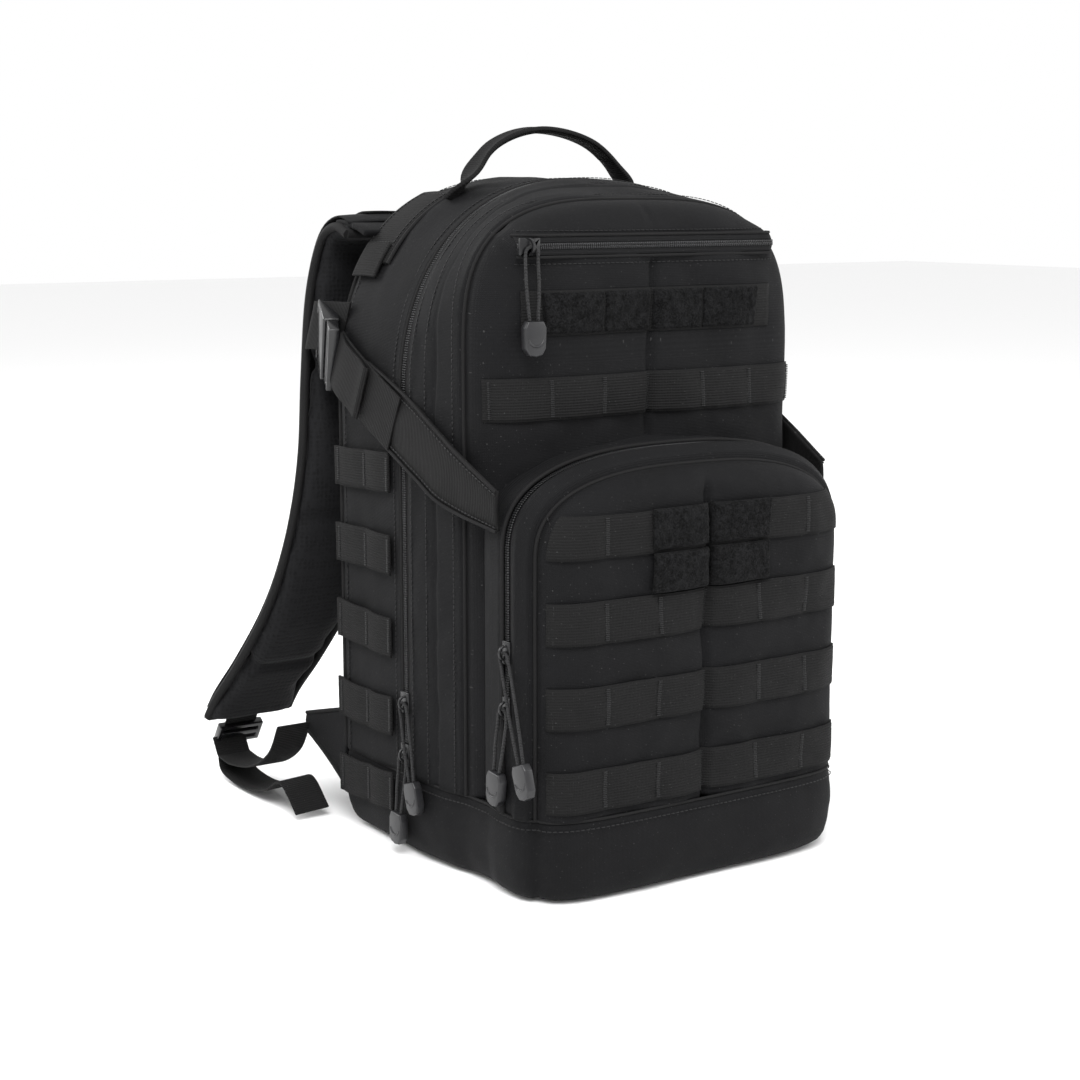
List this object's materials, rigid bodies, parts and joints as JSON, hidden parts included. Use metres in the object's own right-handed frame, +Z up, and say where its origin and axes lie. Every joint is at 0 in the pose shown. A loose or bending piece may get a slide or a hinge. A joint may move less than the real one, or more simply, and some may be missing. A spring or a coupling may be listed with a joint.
{
  "type": "trauma backpack",
  "caption": "Clamshell backpack for a medical kit, with a zipped front pocket, webbing rows, loop patches, a carry handle, padded shoulder straps and side compression buckles.",
  "frame": {"origin": "centre of the boot's underside, the face that the pack stands on", "axes": "+Z up, -Y out of the front pocket, +Y towards the wearer, +X to the wearer's left as seen from the front pocket's right"},
  "size_m": [0.343, 0.3852, 0.4633],
  "materials": {
    "pack_cloth": "matte black woven nylon, coated inside",
    "webbing": "black ribbed nylon webbing",
    "mesh_pad": "black spacer mesh over foam",
    "loop_pile": "black loop pile of hook-and-loop tape",
    "zip_tape": "black zip tape with coil teeth",
    "lining": "thin lining cloth",
    "slider": "black painted zip slider",
    "pull_cord": "thin braided cord",
    "pull_grip": "moulded soft grip",
    "buckle": "black moulded acetal, slightly glossy",
    "frame_sheet": "stiff sheet"
  },
  "bodies": {
    "pack_body": {"boot": "pack_cloth", "rear_shell": "pack_cloth", "back_panel": "pack_cloth", "frame_sheet": "frame_sheet", "inner_sleeve": "lining", "back_pad_left": "mesh_pad", "back_pad_right": "mesh_pad", "lumbar_pad": "mesh_pad", "main_zip_rear_tape": "zip_tape", "side_webbing_left": "webbing", "side_webbing_right": "webbing", "yoke_patch_left": "webbing", "yoke_patch_right": "webbing", "lower_anchor_left": "pack_cloth", "lower_anchor_right": "pack_cloth", "buckle_socket_left": "buckle", "buckle_socket_right": "buckle"},
    "front_half": {"front_shell": "pack_cloth", "main_zip_front_tape": "zip_tape", "admin_panel": "pack_cloth", "upper_webbing_row": "webbing", "id_loop_strip": "loop_pile", "pocket_base": "pack_cloth", "pocket_gusset": "pack_cloth", "pocket_zip_rear_tape": "zip_tape", "pocket_webbing_row_1": "webbing", "wing_left": "pack_cloth", "wing_right": "pack_cloth"},
    "pocket_front": {"pocket_flap": "pack_cloth", "pocket_zip_front_tape": "zip_tape", "pocket_webbing_row_2": "webbing", "pocket_webbing_row_3": "webbing", "pocket_webbing_row_4": "webbing", "loop_patch": "loop_pile"},
    "clip_left": {"buckle_plug_left": "buckle", "compression_strap_left": "webbing"},
    "clip_right": {"buckle_plug_right": "buckle", "compression_strap_right": "webbing"},
    "carry_handle": {"carry_handle": "webbing"},
    "strap_left": {"shoulder_strap_pad_left": "mesh_pad", "ladder_lock_left": "buckle", "adjuster_webbing_left": "webbing"},
    "strap_right": {"shoulder_strap_pad_right": "mesh_pad", "ladder_lock_right": "buckle", "adjuster_webbing_right": "webbing"},
    "main_upper_zip": {"main_upper_slider": "slider"},
    "main_upper_pull": {"main_upper_pull_cord": "pull_cord", "main_upper_pull_grip": "pull_grip"},
    "main_lower_zip": {"main_lower_slider": "slider"},
    "main_lower_pull": {"main_lower_pull_cord": "pull_cord", "main_lower_pull_grip": "pull_grip"},
    "pocket_upper_zip": {"pocket_upper_slider": "slider"},
    "pocket_upper_pull": {"pocket_upper_pull_cord": "pull_cord", "pocket_upper_pull_grip": "pull_grip"},
    "pocket_lower_zip": {"pocket_lower_slider": "slider"},
    "pocket_lower_pull": {"pocket_lower_pull_cord": "pull_cord", "pocket_lower_pull_grip": "pull_grip"},
    "admin_zip": {"admin_slider": "slider"},
    "admin_pull": {"admin_pull_cord": "pull_cord", "admin_pull_grip": "pull_grip"}
  },
  "joints": [
    {"name": "front_open", "type": "hinge", "parent": "pack_body", "child": "front_half", "pos_m": [0, -0.128, 0.05215], "axis": [1, 0, 0], "range_deg": [0, 95]},
    {"name": "pocket_open", "type": "hinge", "parent": "front_half", "child": "pocket_front", "pos_m": [0, -0.128, 0.10585], "axis": [1, 0, 0], "range_deg": [0, 115]},
    {"name": "clip_release_left", "type": "slide", "parent": "front_half", "child": "clip_left", "axis": [-0.3074, -0.8446, -0.4384], "range_m": [0, 0.03]},
    {"name": "clip_release_right", "type": "slide", "parent": "front_half", "child": "clip_right", "axis": [0.3074, -0.8446, -0.4384], "range_m": [0, 0.03]},
    {"name": "main_upper_slide", "type": "slide", "parent": "pack_body", "child": "main_upper_zip", "axis": [0, 0, 1], "range_m": [0, 0.12]},
    {"name": "main_lower_slide", "type": "slide", "parent": "pack_body", "child": "main_lower_zip", "axis": [0, 0, 1], "range_m": [-0.005, 0.004]},
    {"name": "pocket_upper_slide", "type": "slide", "parent": "front_half", "child": "pocket_upper_zip", "axis": [0, 0, 1], "range_m": [0, 0.06]},
    {"name": "pocket_lower_slide", "type": "slide", "parent": "front_half", "child": "pocket_lower_zip", "axis": [0, 0, 1], "range_m": [-0.004, 0.004]},
    {"name": "admin_slide", "type": "slide", "parent": "front_half", "child": "admin_zip", "axis": [1, 0, 0], "range_m": [0, 0.18]},
    {"name": "main_upper_swing", "type": "hinge", "parent": "main_upper_zip", "child": "main_upper_pull", "pos_m": [-0.1327, 0.016, 0.1], "axis": [0, 0.9563, -0.2924], "range_deg": [0, 110]},
    {"name": "main_lower_swing", "type": "hinge", "parent": "main_lower_zip", "child": "main_lower_pull", "pos_m": [-0.1327, 0.016, 0.066], "axis": [0, 0.9986, 0.0523], "range_deg": [0, 110]},
    {"name": "pocket_upper_swing", "type": "hinge", "parent": "pocket_upper_zip", "child": "pocket_upper_pull", "pos_m": [-0.1247, -0.09, 0.152], "axis": [0, 0.9397, -0.342], "range_deg": [0, 110]},
    {"name": "pocket_lower_swing", "type": "hinge", "parent": "pocket_lower_zip", "child": "pocket_lower_pull", "pos_m": [-0.1247, -0.09, 0.118], "axis": [0, 0.9962, 0.0872], "range_deg": [0, 110]},
    {"name": "admin_swing", "type": "hinge", "parent": "admin_zip", "child": "admin_pull", "pos_m": [-0.09227, -0.0725, 0.388], "axis": [-1, 0, 0], "range_deg": [0, 110]},
    {"name": "handle_swing", "type": "hinge", "parent": "pack_body", "child": "carry_handle", "pos_m": [0, 0.056, 0.4223], "axis": [1, 0, 0], "range_deg": [-40, 40]},
    {"name": "strap_swing_left", "type": "hinge", "parent": "pack_body", "child": "strap_left", "pos_m": [-0.084, 0.104, 0.392], "axis": [1, 0, 0], "range_deg": [0, 25]},
    {"name": "strap_swing_right", "type": "hinge", "parent": "pack_body", "child": "strap_right", "pos_m": [0.084, 0.104, 0.392], "axis": [1, 0, 0], "range_deg": [0, 25]}
  ]
}
